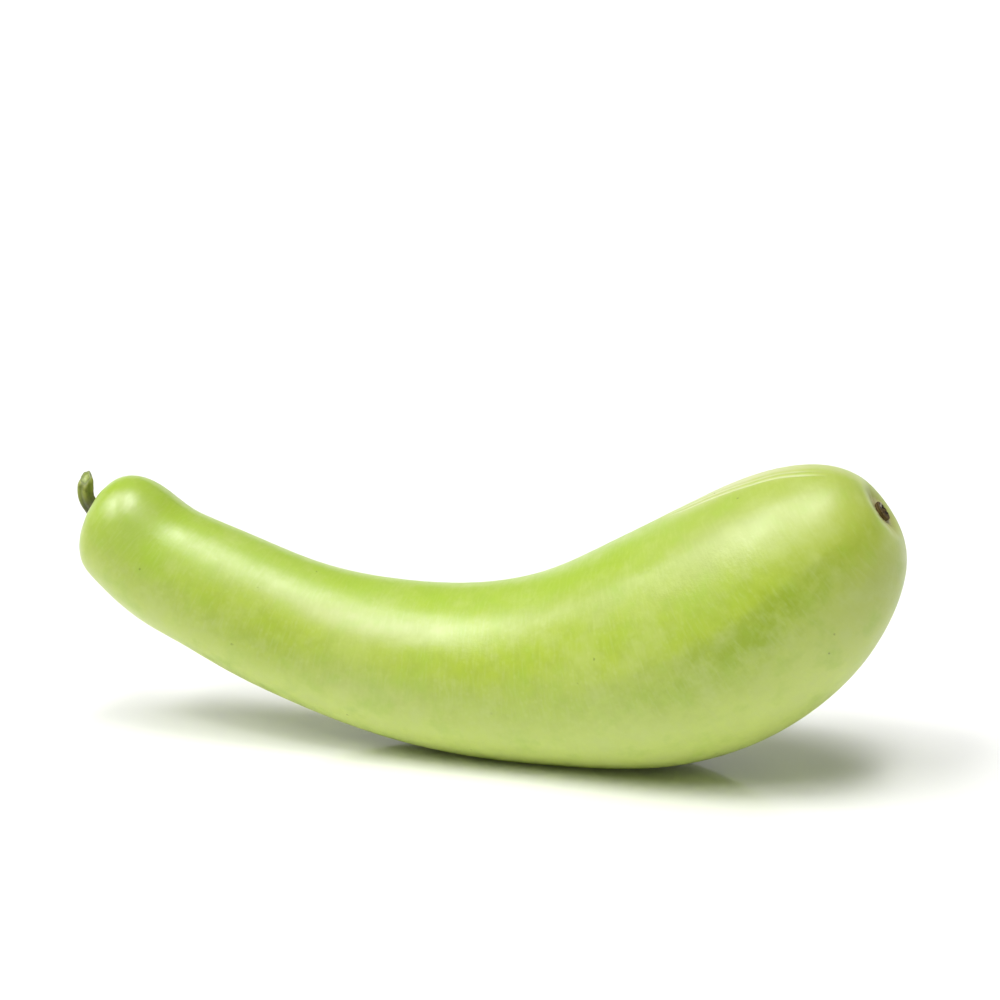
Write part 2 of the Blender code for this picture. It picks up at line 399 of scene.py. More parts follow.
@dataclass
class Fruit:
    """The rind and flesh in one: a closed skin with the lumps, puckers and flat spot of a real one."""

    axis: BentAxis
    seat_radius: float = 0.013
    seat_depth: float = 0.0020
    pit_radius: float = 0.014
    pit_depth: float = 0.0026
    end_rings: int = 30
    body_rings: int = 266
    sides: int = 272
    outline_steps: int = 400
    clearance: float = 0.00003  # the skin lies at least this far inside the solid, save on the flat spot
    lump_stretch: float = 0.6  # below 1, lumps are longer than wide
    broad_lumps: float = 0.00030  # how far the skin sinks between its broad swellings
    broad_size: float = 0.034
    small_lumps: float = 0.00016
    small_size: float = 0.011
    furrows: int = 9  # faint lengthwise furrows
    furrow_depth: float = 0.00010
    furrow_start: float = 0.05  # they reach their depth this far from both ends
    furrow_wander: float = 1.5
    furrow_wander_size: float = 0.05
    furrow_wander_stretch: float = 0.3
    puckers: int = 10
    pucker_depth: float = 0.00035
    pucker_wander: float = 2.0
    pucker_start: float = 0.004
    stalk_pucker_reach: float = 0.011
    scar_pucker_reach: float = 0.009
    scar_pucker_share: float = 0.6
    crease_from: tuple[float, float] = (0.270, 3.0)  # distance and turn where it begins, on top
    crease_to: tuple[float, float] = (0.331, 18.0)
    crease_fades: tuple[float, float] = (0.25, 0.15)  # shares of its length over which it starts and ends
    crease_end: float = 1.06
    crease_width: float = 0.0009
    crease_depth: float = 0.00045
    crease_wander: float = 0.0009
    crease_wander_size: float = 0.012
    crease_strength: tuple[float, float] = (0.75, 0.35)  # how strong it is, and how much that changes
    crease_strength_size: float = 0.009
    second_crease: tuple[float, float] = (0.6, 0.0034)  # the fainter line: strength, distance from the first
    crease_columns: float = 3.5  # extra density of the skin's columns along it
    crease_columns_reach: float = 8.0  # degrees
    facet_turn: float = 83.5  # a soft lengthwise edge on the front of the thick end, in degrees
    facet_span: tuple[float, float, float, float] = (0.200, 0.228, 0.318, 0.338)
    facet_depth: float = 0.0008
    facet_reach: float = 0.0075
    facet_extent: float = 0.028
    facet_softness: float = 0.001
    wax_and_highlight_patches: tuple[Patch, ...] = (  # thicker, paler wax laid along the highlight line, a painted highlight
        Patch(0.296, 40.0, 0.040, 20.0, 0.80),
        Patch(0.225, 42.0, 0.040, 12.0, 0.55),
        Patch(0.125, 49.0, 0.050, 10.0, 0.50),
        Patch(0.018, 46.0, 0.010, 26.0, 0.60),
    )
    pale_and_highlight_patches: tuple[Patch, ...] = (  # pale patches: pale skin along the crease on top of the thick end, a painted highlight on the neck, and a paler patch low on the neck's front
        Patch(0.306, 2.0, 0.034, 13.0, 1.0),
        # painted highlight where the neck's highlight is brightest
        Patch(0.120, 50.0, 0.020, 8.0, 0.40),
        Patch(0.132, 98.0, 0.018, 10.0, 0.40),
    )
    deep_and_shaded_patches: tuple[Patch, ...] = (  # deeper green skin, partly painted shade on the front below the soft edge
        Patch(0.290, 93.0, 0.045, 14.0, 1.0),
        Patch(0.090, 94.0, 0.050, 12.0, 0.25),
    )
    polished: tuple[Patch, ...] = (  # wax rubbed smooth
        Patch(0.120, 50.0, 0.030, 14.0, 1.0),
        Patch(0.018, 42.0, 0.016, 26.0, 0.6),
    )

    def outline(self) -> tuple[np.ndarray, np.ndarray]:
        """Sample the rounded outline finely from the stalk's end.

        Returns:
            Its radii and its distances along the axis.
        """
        axis = self.axis
        cap = 1 - np.cos(np.linspace(0, math.pi / 2, self.outline_steps)) ** (2 / axis.power)
        ends = axis.stalk_rounding, axis.length - axis.blossom_rounding
        between = np.linspace(*ends, self.outline_steps)[1:-1]
        far = axis.length - axis.blossom_rounding * cap[::-1]
        distances = np.concatenate([axis.stalk_rounding * cap, between, far])
        return axis.radius(distances), distances

    def build(self) -> bpy.types.Object:
        """Build the skin and keep on it what its finish reads.

        Returns:
            The fruit's mesh object.
        """
        radii, distances = self.outline()
        run = np.concatenate([[0], np.cumsum(np.hypot(np.diff(radii), np.diff(distances)))])
        whole = run[-1]
        at = self.rings_over(whole)
        radius = np.interp(at, run, radii)
        distance = np.interp(at, run, distances)
        across = np.gradient(radius, at)
        along = np.gradient(distance, at)
        size = np.hypot(across, along)
        out_radius, out_along = along / size, -across / size
        distance = distance + hollow(radius, self.seat_radius, self.seat_depth) * (at < whole / 2)
        distance = distance - hollow(radius, self.pit_radius, self.pit_depth) * (at > whole / 2)
        turn = self.columns()
        shape = (len(at), self.sides)
        flat_rings = [np.outer(radius, np.sin(turn)), np.outer(radius, np.cos(turn))]
        straight = np.stack([np.broadcast_to(distance[:, None], shape), *flat_rings], -1)
        from_stalk = np.broadcast_to(at[:, None], shape)
        crease = self.crease(straight, turn)
        sink = self.relief(straight, from_stalk, whole - from_stalk, turn, crease)
        shown_radius = np.maximum(radius[:, None] + sink * out_radius[:, None], 0)
        shown_distance = np.clip(distance[:, None] + sink * out_along[:, None], 0, self.axis.length)
        centre, level, up = self.axis.frames(shown_distance.ravel())
        sideways = (shown_radius * np.sin(turn)).reshape(-1, 1)
        upwards = (shown_radius * np.cos(turn)).reshape(-1, 1)
        points = (centre + level * sideways + up * upwards).reshape(*shape, 3)
        points[..., 2] = np.maximum(points[..., 2], 0)  # the flat spot on the belly
        ends = points[0].mean(0), points[-1].mean(0)
        skin = closed_grid("fruit_skin", points[1:-1], *ends, Side.AS_BUILT)
        poles = [[distance[0], 0, 0], [distance[-1], 0, 0]]
        store(skin, "straight", np.concatenate([straight[1:-1].reshape(-1, 3), poles]))
        store(skin, "from_stalk", with_poles(from_stalk[1:-1], 0, whole))
        store(skin, "from_scar", with_poles(whole - from_stalk[1:-1], whole, 0))
        store(skin, "crease", with_poles(crease[1:-1]))
        store(skin, "upness", with_poles(np.tile(np.cos(turn), len(at) - 2)))
        patches = {"wax_and_highlight": self.wax_and_highlight_patches, "pale_and_highlight": self.pale_and_highlight_patches, "deep": self.deep_and_shaded_patches, "polish": self.polished}
        for name, spots in patches.items():
            store(skin, name, with_poles(self.spread_of(spots, straight, turn)[1:-1]))
        return skin

    def rings_over(self, whole: float) -> np.ndarray:
        """Distances over the skin of its rings, closer together in the seat and in the pit.

        Args:
            whole: the outline's whole length.

        Returns:
            The distances from the stalk's end.
        """
        near = np.linspace(0, self.seat_radius, self.end_rings, endpoint=False)
        body = np.linspace(self.seat_radius, whole - self.pit_radius, self.body_rings, endpoint=False)
        far = whole - np.linspace(0, self.pit_radius, self.end_rings, endpoint=False)[::-1]
        return np.concatenate([near, body, far])

    def columns(self) -> np.ndarray:
        """Place the skin's columns, closer together along the crease.

        Returns:
            Their angles round the axis from the top.
        """
        fine = np.linspace(0, 2 * math.pi, 3601)
        middle = math.radians((self.crease_from[1] + self.crease_to[1]) / 2)
        near = np.exp(-(((fine - middle) / math.radians(self.crease_columns_reach)) ** 2))
        density = 1 + self.crease_columns * near
        total = np.concatenate([[0], np.cumsum((density[1:] + density[:-1]) / 2)])
        return np.interp(np.arange(self.sides) / self.sides, total / total[-1], fine)

    def spread_of(self, patches: tuple[Patch, ...], straight: np.ndarray, turn: np.ndarray) -> np.ndarray:
        """Strength of soft patches on the skin.

        Args:
            patches: the patches.
            straight: positions on the fruit as if it were not bent.
            turn: angle round the axis of each column.

        Returns:
            Values from 0 to 1, one a vertex.
        """
        strength = np.zeros(straight.shape[:2])
        degrees = (np.degrees(turn) + 180) % 360 - 180
        for patch in patches:
            along = (straight[..., 0] - patch.distance) / patch.reach
            off = along**2 + ((degrees - patch.turn) / patch.breadth)[None] ** 2
            strength = np.maximum(strength, patch.strength * np.exp(-off))
        return strength

    def crease(self, straight: np.ndarray, turn: np.ndarray) -> np.ndarray:
        """Strength of the thin double crease that runs along the top of the thick end.

        Args:
            straight: positions on the fruit as if it were not bent.
            turn: angle round the axis of each column.

        Returns:
            Values from 0 to about 1, one a vertex.
        """
        distance = straight[..., 0]
        (start, low), (end, high) = self.crease_from, self.crease_to
        share = (distance - start) / (end - start)
        radius = np.hypot(straight[..., 1], straight[..., 2])
        along = np.column_stack([distance[:, 0], np.zeros((len(distance), 2))])
        wander = self.crease_wander * perlin(along, self.crease_wander_size, seed=6.0)[:, None]
        aside = (turn[None] - np.radians(low + (high - low) * share)) * radius + wander
        rise, fall = self.crease_fades
        shown = np.clip(share / rise, 0, 1) * np.clip((self.crease_end - share) / fall, 0, 1)
        usual, change = self.crease_strength
        shown = shown * (usual + change * perlin(along, self.crease_strength_size, seed=2.0)[:, None])
        fainter, apart = self.second_crease
        first = np.exp(-((aside / self.crease_width) ** 2))
        second = fainter * np.exp(-(((aside + apart) / self.crease_width) ** 2))
        return shown * (first + second)

    def facet(self, straight: np.ndarray, turn: np.ndarray) -> np.ndarray:
        """How far the skin falls away on both sides of the soft edge on the front of the thick end.

        Args:
            straight: positions on the fruit as if it were not bent.
            turn: angle round the axis of each column.

        Returns:
            Depths in metres, one a vertex.
        """
        distance = straight[..., 0]
        start, full, fades, end = self.facet_span
        shown = np.clip((distance - start) / (full - start), 0, 1)
        shown = shown * np.clip((end - distance) / (end - fades), 0, 1)
        shown = shown**2 * (3 - 2 * shown)
        radius = np.hypot(straight[..., 1], straight[..., 2])
        aside = (turn[None] - math.radians(self.facet_turn)) * radius
        away = np.hypot(aside, self.facet_softness) - self.facet_softness
        fall = 1 - np.exp(-away / self.facet_reach)
        return self.facet_depth * shown * fall * np.exp(-((aside / self.facet_extent) ** 2))

    def relief(
        self,
        straight: np.ndarray,
        from_stalk: np.ndarray,
        from_scar: np.ndarray,
        turn: np.ndarray,
        crease: np.ndarray,
    ) -> np.ndarray:
        """How far the skin lies below the solid's surface, so never above it.

        Args:
            straight: positions on the fruit as if it were not bent.
            from_stalk: distance over the skin from the stalk's seat.
            from_scar: distance over the skin from the scar's pit.
            turn: angle round the axis of each column.
            crease: strength of the crease.

        Returns:
            Negative heights in metres, one a vertex.
        """
        flat = straight.reshape(-1, 3)
        shape = from_stalk.shape
        stretched = flat * [self.lump_stretch, 1, 1]
        broad = perlin(stretched, self.broad_size, seed=3.7).reshape(shape)
        small = perlin(stretched, self.small_size, seed=9.1).reshape(shape)
        lengthwise = flat * [self.furrow_wander_stretch, 0, 0]
        wander = perlin(lengthwise, self.furrow_wander_size, seed=5.3).reshape(shape)
        open_skin = np.clip(np.minimum(from_stalk, from_scar) / self.furrow_start, 0, 1)
        furrow = 0.5 - 0.5 * np.cos(self.furrows * turn + self.furrow_wander * wander)
        near_stalk, near_scar = (
            np.exp(-((away / reach) ** 2)) * np.clip(away / self.pucker_start, 0, 1)
            for away, reach in ((from_stalk, self.stalk_pucker_reach), (from_scar, self.scar_pucker_reach))
        )
        pucker = 0.5 - 0.5 * np.cos(self.puckers * turn + self.pucker_wander * small)
        height = self.broad_lumps * 0.5 * (np.clip(broad, -1, 1) - 1)
        height += self.small_lumps * 0.5 * (np.clip(small, -1, 1) - 1)
        height -= self.furrow_depth * furrow * open_skin
        height -= self.crease_depth * crease
        height -= self.facet(straight, turn)
        height -= self.pucker_depth * pucker * (near_stalk + self.scar_pucker_share * near_scar)
        return height - self.clearance


@dataclass
class Stalk:
    """The stub of the stem: five soft ridges, a flared scabby base and a slanting cut."""

    axis: BentAxis
    radius: float = 0.0033
    base_radius: float = 0.0046
    flare: float = 0.0022
    rise: float = 0.0180
    lowest_cut: float = 0.4  # part of the rise below which no column ends
    halvings: int = 40
    past_tip: float = 0.004  # how much further the centreline goes on
    bend_radius: float = 0.0082
    final_heading: float = 87.0
    ridges: int = 5
    ridge_depth: float = 0.09
    fibres: int = 23
    fibre_twist: float = 260.0
    fibre_depth: float = 0.010
    clearance: float = 0.012  # part of the radius taken off, so that the fibres stay inside the solid
    scab_depth: float = 0.05
    scab_size: float = 0.0022
    sink: float = 0.0012
    rooting: float = 0.0009  # how far the base goes on into the skin, so that no gap shows
    base_dome: float = 0.0004
    taper: float = 0.24  # how much slimmer the tip is than the middle
    taper_length: float = 0.0075
    taper_power: float = 1.5
    cut_length: float = 0.0030
    cut_facing: tuple[float, float, float] = (0.00, -0.77, 1.00)
    rim: float = 0.0016  # rounding of the cut's edge
    rim_share: float = 0.30  # part of the radius that the rounding takes off
    pith_ring: tuple[float, float, float] = (0.00016, 0.30, 0.10)  # height, place and breadth on the cut
    heart_depth: float = 0.00030
    pole_depth: float = 0.00032
    cut_roughness: float = 0.00007
    cut_grain: float = 0.0011
    cap_span: tuple[float, float] = (0.04, 0.95)
    cap_rings: int = 12
    steps: int = 240
    rings: int = 84
    ring_bias: float = 0.9
    sides: int = 90
    run: np.ndarray = field(init=False)
    turn: np.ndarray = field(init=False)
    points: np.ndarray = field(init=False)
    ways: np.ndarray = field(init=False)

    def __post_init__(self) -> None:
        """Lay the centreline and the columns out."""
        self.run = np.linspace(0, self.rise + self.past_tip, self.steps + 1)
        self.turn = 2 * math.pi * np.arange(self.sides) / self.sides
        self.points, self.ways = self.path()

    def path(self) -> tuple[np.ndarray, np.ndarray]:
        """Lay the centreline out of the seat, round the bend and on past the tip.

        Returns:
            Its points and its directions.
        """
        place = self.axis.end_frame(0, 1)
        out = place.to_3x3().col[2]
        heading = math.atan2(out.z, out.x)
        last = math.radians(self.final_heading)
        step = (self.rise + self.past_tip) / self.steps
        point = place @ Vector((0, 0, -self.sink))
        points, ways = [], []
        for _ in range(self.steps + 1):
            way = Vector((math.cos(heading), out.y * math.sin(heading), math.sin(heading)))
            points.append(tuple(point))
            ways.append(tuple(way.normalized()))
            point = point + step * way
            heading = max(last, heading - step / self.bend_radius)
        return np.array(points), np.array(ways)

    def along(self, values: np.ndarray, height: np.ndarray | float) -> np.ndarray:
        """Points or directions of the centreline at these heights."""
        return np.stack([np.interp(height, self.run, values[:, c]) for c in range(3)], -1)

    def build(self) -> bpy.types.Object:
        """Build the stalk's mesh, its side first and then the cut face.

        Returns:
            The stalk's mesh object.
        """
        normal = np.array(Vector(self.cut_facing).normalized())
        tops = self.tops(self.along(self.points, self.rise - self.cut_length), normal)
        low = -self.rooting
        at = low + np.linspace(0, 1, self.rings)[:, None] ** self.ring_bias * (tops[None] - low)
        edge = np.clip(1 - (tops[None] - at) / self.rim, 0, 1)
        side = self.surface(at, 1 - self.rim_share * edge**2)
        inwards = np.linspace(*self.cap_span, self.cap_rings)
        cap = self.cut_face(side[-1], inwards, normal)
        base = self.along(self.points, low) - self.base_dome * self.ways[0]
        middle = side[-1].mean(0) - self.pole_depth * normal
        grid = np.concatenate([side, cap])
        stalk = closed_grid("stalk_stub", grid, base, middle, Side.AS_BUILT)
        height = np.concatenate([at, np.repeat(tops[None], self.cap_rings, 0)])
        none, full = np.zeros_like(at), np.ones((self.cap_rings, self.sides))
        store(stalk, "height", with_poles(height, low, self.rise))
        store(stalk, "cut_face", with_poles(np.concatenate([none, full]), 0, 1))
        store(stalk, "ridge", with_poles(np.tile(0.5 + 0.5 * np.cos(self.ridges * self.turn), len(grid))))
        store(stalk, "inwards", with_poles(np.concatenate([none, full * inwards[:, None]]), 0, 1))
        return stalk

    def cut_face(self, rim: np.ndarray, inwards: np.ndarray, normal: np.ndarray) -> np.ndarray:
        """Rings of the cut from its rim inwards: a low ring of pith round a sunken heart.

        Args:
            rim: the side's last ring.
            inwards: how far each ring lies from the rim to the middle, from 0 to 1.
            normal: the way that the cut faces.

        Returns:
            Positions, rings by columns by 3.
        """
        swell, place, breadth = self.pith_ring
        rings = []
        for share in inwards:
            ring = rim + share * (rim.mean(0) - rim)
            pith = swell * math.exp(-(((share - place) / breadth) ** 2)) - self.heart_depth * share**3
            rough = self.cut_roughness * perlin(ring, self.cut_grain, seed=4.0)
            rings.append(ring + normal * (pith + rough)[:, None])
        return np.array(rings)

    def tops(self, plane_point: np.ndarray, normal: np.ndarray) -> np.ndarray:
        """Find where each column of the side meets the slanting cut, by halving.

        Args:
            plane_point: a point of the cut's plane.
            normal: the way that the cut faces.

        Returns:
            The height of each column's top.
        """
        low = np.full(self.sides, self.rise * self.lowest_cut)
        high = np.full(self.sides, self.rise + self.past_tip)
        for _ in range(self.halvings):
            middle = (low + high) / 2
            place = self.surface(middle[None], np.ones((1, self.sides)))[0]
            above = (place - plane_point) @ normal > 0
            high = np.where(above, middle, high)
            low = np.where(above, low, middle)
        return (low + high) / 2

    def surface(self, at: np.ndarray, share: np.ndarray) -> np.ndarray:
        """Points of the ridged side.

        Args:
            at: the height of each point of the side, rings by columns.
            share: what part of the radius each point keeps.

        Returns:
            Positions, rings by columns by 3.
        """
        kept = np.clip(at, 0, self.run[-1])
        way = self.along(self.ways, kept)
        centre = self.along(self.points, kept) + way * (at - kept)[..., None]
        plain = np.cross(self.ways[0], UPRIGHT)
        level = plain - way * (way @ plain)[..., None]
        level /= np.linalg.norm(level, axis=-1, keepdims=True)
        other = np.cross(level, way)
        flare = np.exp(-((np.maximum(at, 0) / self.flare) ** 2))
        radius = self.radius + (self.base_radius - self.radius) * flare
        depth = self.ridge_depth * (1 + 0.5 * flare)
        ridge = 1 + depth * (np.cos(self.ridges * self.turn) - 1)
        fibre = self.fibre_depth * np.cos(self.fibres * self.turn + self.fibre_twist * at) * (1 - 0.5 * flare)
        slimmer = np.clip(1 - (self.rise - at) / self.taper_length, 0, 1) ** self.taper_power
        radius = radius * (ridge + fibre - self.clearance) * share * (1 - self.taper * slimmer)
        on_level = (centre + level * radius[..., None]).reshape(-1, 3)
        scab = perlin(on_level, self.scab_size, seed=2.0).reshape(at.shape)
        radius = radius * (1 - self.scab_depth * flare * (1 - scab))
        aside, up = np.sin(self.turn)[:, None], np.cos(self.turn)[:, None]
        return centre + radius[..., None] * (level * aside + other * up)


@dataclass
class BlossomScar:
    """The corky remnant of the flower: a ragged raised rim round a cracked hollow with a dried nub."""

    axis: BentAxis
    radius: float = 0.0040
    kept_radius: float = 0.955  # part of the radius that the ragged rim has on average
    # The rim's raggedness: its depth as part of the radius, its size and its seed
    ragged: tuple[tuple[float, float, float], ...] = ((0.035, 0.0016, 1.0), (0.020, 0.0006, 6.0))
    rim_depth: float = 0.0012
    rim_edge: tuple[float, float] = (0.86, 0.00035)  # where the rim starts to round off, and by how much
    hollow_depth: float = 0.0018
    hollow_slope: tuple[float, float] = (0.55, 0.27)  # where the hollow starts to rise, and over how much
    nub_radius: float = 0.0008
    nub_height: float = 0.0008
    grain_size: float = 0.0007
    grain_depth: float = 0.00010
    crack_size: float = 0.0013
    crack_width: float = 0.10
    crack_depth: float = 0.00030
    crack_start: float = 0.2  # part of the radius round the nub without cracks
    flake_place: tuple[float, float] = (0.0021, -0.0014)  # a dry grey flake that still clings to the top
    flake_radius: float = 0.0011
    flake_edge: float = 0.0004
    flake_ragged: float = 0.35
    flake_height: float = 0.00022
    # The wall's rings: the part of the rim's radius, and the height from the rim
    wall: tuple[tuple[float, float], ...] = ((1.0, -0.0004), (0.98, -0.0011), (0.93, -0.0018))
    below_wall: float = 0.0019
    top_lift: float = 0.00002
    first_ring: float = 0.03  # part of the radius
    rings: int = 44
    sides: int = 120

    def build(self) -> bpy.types.Object:
        """Build the scar's mesh: its top from the nub to the rim, then its wall and its underside.

        Returns:
            The scar's mesh object.
        """
        turn = 2 * math.pi * np.arange(self.sides) / self.sides
        on_rim = np.stack([np.cos(turn) * self.radius, np.sin(turn) * self.radius, np.zeros(self.sides)], -1)
        ragged = sum(depth * perlin(on_rim, size, seed) for depth, size, seed in self.ragged)
        outer = self.radius * (self.kept_radius + ragged)
        share = np.linspace(self.first_ring, 1, self.rings)
        radius = share[:, None] * outer[None]
        flat = np.stack([radius * np.cos(turn), radius * np.sin(turn), np.zeros_like(radius)], -1)
        grain = perlin(flat.reshape(-1, 3), self.grain_size, seed=2.0).reshape(radius.shape)
        crack = np.abs(perlin(flat.reshape(-1, 3), self.crack_size, seed=8.0)).reshape(radius.shape)
        clear = np.clip((share[:, None] - self.crack_start) / self.crack_start, 0, 1)
        split = np.exp(-((crack / self.crack_width) ** 2)) * clear
        away = np.hypot(flat[..., 0] - self.flake_place[0], flat[..., 1] - self.flake_place[1])
        flake = np.clip((self.flake_radius * (1 + self.flake_ragged * grain) - away) / self.flake_edge, 0, 1)
        height = self.top(share)[:, None] + self.grain_depth * (grain - 1)
        height += self.flake_height * flake - self.crack_depth * split * (1 - flake)
        for part, drop in self.wall:
            radius = np.vstack([radius, part * outer[None]])
            height = np.vstack([height, np.full((1, self.sides), drop - self.rim_depth)])
        local = np.stack([radius * np.cos(turn), radius * np.sin(turn), height], -1)
        place = self.axis.end_frame(-1, -2)
        middle, out = np.array(place.translation), np.array(place.to_3x3().col[2])
        world = local @ np.array(place.to_3x3()).T + middle
        top = middle + out * float(height[0].mean() + self.top_lift)
        bottom = middle - out * (self.rim_depth + self.below_wall)
        scar = closed_grid("scar_cork", world, top, bottom, Side.TURNED)
        below = np.zeros((len(self.wall), self.sides))
        store(scar, "from_middle", with_poles(radius / self.radius))
        store(scar, "split", with_poles(np.vstack([split, below])))
        store(scar, "flake", with_poles(np.vstack([flake, below])))
        store(scar, "face", np.concatenate([local.reshape(-1, 3), np.zeros((2, 3))]))
        return scar

    def top(self, share: np.ndarray) -> np.ndarray:
        """Height of the top, from the nub in the middle out to the rounded rim.

        Args:
            share: parts of the radius.

        Returns:
            One height a part.
        """
        nub = self.nub_height * np.exp(-((share * self.radius / self.nub_radius) ** 4))
        start, over = self.hollow_slope
        slope = np.clip((share - start) / over, 0, 1)
        lift = (self.hollow_depth - self.rim_depth) * slope**2 * (3 - 2 * slope)
        rounding, drop = self.rim_edge
        edge = drop * np.clip((share - rounding) / (1 - rounding), 0, 1) ** 2
        return -self.hollow_depth + nub + lift - edge


@dataclass(frozen=True)
class WaxyRind:
    """Skin of a fresh pale bottle gourd: thin wax over green flesh, so a soft satin gloss on light green."""

    middle: str = "#b1c644"
    pale: str = "#c3d27c"
    fresh: str = "#a3c53c"
    olive: str = "#99ab42"
    # pale belly colour: a ground spot, and painted light from the white table below
    ground: str = "#d0e078"
    wax_and_highlight: str = "#b1bf6c"
    pale_and_highlight: str = "#c9cf86"
    deep: str = "#9bb420"
    ripe: str = "#b1c04f"
    fleck: str = "#4f6420"
    freckle: str = "#d6e29a"
    cork: str = "#a19c55"
    seat: str = "#cfd795"
    dry: str = "#e2e8ba"
    husk: str = "#d4ca92"

    # Sizes of the patterns in millimetres; where there are two, along the fruit and round it
    patch_size: float = 38.46154
    streak_size: tuple[float, float] = (71.428571, 16.129032)
    cloud_size: float = 12.5
    mottle_size: float = 5.8823529
    pore_size: float = 3.030303
    cross_size: tuple[float, float] = (1.25, 5.8823529)
    fleck_size: float = 9.090909
    ragged_size: float = 0.66666667
    grain_size: float = 1.1111111

    # Shares by the strength of a pattern, the height round the fruit, or the distance in metres from an end
    patch_ramp: Ramp = Ramp(0.40, 0.66, high=0.40)
    streak_ramp: Ramp = Ramp(0.46, 0.70, high=0.30)
    mottle_ramp: Ramp = Ramp(0.42, 0.66, high=0.24)
    pore_ramp: Ramp = Ramp(0.10, 0.34, 0.10, 0.0)
    back_ramp: Ramp = Ramp(0.55, 1.0, high=0.55)
    young_ramp: Ramp = Ramp(0.035, 0.085, 0.60, 0.0)
    upper_ramp: Ramp = Ramp(-0.1, 0.5, low=0.15)
    belly_light_ramp: Ramp = Ramp(-0.85, 0.15, 0.80, 0.0)
    ripe_ramp: Ramp = Ramp(0.030, 0.080, 0.70, 0.0)
    wax_and_highlight_ramp: Ramp = Ramp(0.35, 0.60, low=0.75)
    deep_shade_ramp: Ramp = Ramp(0.36, 0.62, low=0.35)
    pale_cloud_ramp: Ramp = Ramp(0.52, 0.72, high=0.42)
    green_cloud_ramp: Ramp = Ramp(0.48, 0.28, high=0.42)
    cross_ramp: Ramp = Ramp(0.48, 0.72, high=0.22)
    lip_ramp: Ramp = Ramp(0.15, 0.85, high=0.80)
    seat_ramp: Ramp = Ramp(0.005, 0.016, 0.75, 0.0)
    cork_ramp: Ramp = Ramp(0.007, 0.017, 0.60, 0.0)
    husk_ramp: Ramp = Ramp(0.0075, 0.0095, 0.80, 0.0)
    raggedness: float = 0.006  # how far the edges of cork and husk wander

    # Flecks: how many of the cells stay empty, how ragged they are, and their radii as parts of a cell
    fleck_empty: float = 0.60
    fleck_ragged: float = 0.0009
    fleck_width: Ramp = Ramp(low=0.035, high=0.095)
    fleck_core: float = 0.012
    fleck_strength: float = 0.62

    gloss_ramp: Ramp = Ramp(0.65, 1.15, 0.28, 0.40)
    mottle_gloss: float = 0.8
    cork_dullness: float = 0.5
    polish_gain: float = -0.09
    smoothest: float = 0.28
    cross_relief: float = 0.5

    def material(self) -> bpy.types.Material:
        """Make the rind's material.

        Returns:
            The material, read from the skin's own unbent coordinates.
        """
        made, tree, shader = new_finish("waxy_gourd_rind")
        straight = node(tree, "Attribute", attribute_name="straight").outputs["Vector"]
        names = ("from_stalk", "from_scar", "upness", "crease", "wax_and_highlight", "pale_and_highlight", "deep", "polish")
        read = {name: node(tree, "Attribute", attribute_name=name).outputs["Fac"] for name in names}
        noises = self.noises(tree, straight)
        flecks = self.flecks(tree, straight)

        # A pale ring of young skin round the stalk, and a dull corky zone and a dry husk round the scar
        seat = node(tree, "MapRange", self.seat_ramp.of(read["from_stalk"]), **SOFT)
        links = {0: noises["mottle"], 1: self.raggedness, 2: read["from_scar"]}
        ragged = node(tree, "Math", links, operation="MULTIPLY_ADD").outputs[0]
        zone = node(tree, "MapRange", self.cork_ramp.of(ragged), **SOFT).outputs[0]
        husk = node(tree, "MapRange", self.husk_ramp.of(ragged)).outputs[0]
        layers = (
            *self.pattern_layers(tree, noises),
            *self.grown_layers(tree, noises, read),
            *self.fine_layers(tree, noises, read),
            (flecks, self.fleck),
            (seat.outputs[0], self.seat),
            (zone, self.cork),
            (husk, self.husk),
        )
        tree.links.new(layered(tree, self.middle, layers), shader.inputs["Base Color"])

        # The streaks stand up a little from a finely pitted grain, and the flecks are dents
        links = {0: noises["cross"], 1: self.cross_relief, 2: noises["grain"]}
        relief = node(tree, "Math", links, operation="MULTIPLY_ADD").outputs[0]
        links = {0: flecks, 1: -1.0, 2: relief}
        dented = node(tree, "Math", links, operation="MULTIPLY_ADD").outputs[0]
        bump = node(tree, "Bump", {"Strength": 0.35, "Distance": 0.12 * MM, "Height": dented})
        tree.links.new(bump.outputs[0], shader.inputs["Normal"])
        tree.links.new(self.roughness(tree, noises, zone, read["polish"]), shader.inputs["Roughness"])
        fill(
            shader,
            {
                "IOR": 1.55,
                "Subsurface Weight": 0.12,
                "Subsurface Radius": (1.0, 1.0, 0.3),
                "Subsurface Scale": 3 * MM,
                "Sheen Weight": 0.04,
                "Sheen Roughness": 0.45,
                "Sheen Tint": linear("#f4f6dc"),
            },
        )
        return made

    def noises(self, tree: bpy.types.NodeTree, straight: bpy.types.NodeSocket) -> dict:
        """Add the noises that the skin's colour and gloss share.

        Args:
            tree: the material's node tree.
            straight: positions on the unbent fruit.

        Returns:
            The socket of each noise by its name.
        """
        made = {}
        for name, size, settings in (
            ("patch", self.patch_size, {"Detail": 2.0, "Roughness": 0.5, "Distortion": 0.4}),
            ("cloud", self.cloud_size, {"Detail": 3.0, "Roughness": 0.6}),
            ("mottle", self.mottle_size, {"Detail": 3.0, "Roughness": 0.6}),
            ("grain", self.grain_size, {"Detail": 2.0}),
        ):
            links = {"Vector": straight, "Scale": per(size), **settings}
            made[name] = node(tree, "TexNoise", links).outputs[0]
        for name, (along, across), settings in (
            ("streak", self.streak_size, {"Detail": 3.0, "Roughness": 0.55}),
            ("cross", self.cross_size, {"Detail": 3.0}),
        ):
            scale = (per(along), per(across), per(across))
            stretched = node(tree, "VectorMath", {0: straight, 1: scale}, operation="MULTIPLY")
            links = {"Vector": stretched.outputs[0], "Scale": 1.0, **settings}
            made[name] = node(tree, "TexNoise", links).outputs[0]
        pores = node(tree, "TexVoronoi", {"Vector": straight, "Scale": per(self.pore_size)})
        made["pore"] = pores.outputs["Distance"]
        return made

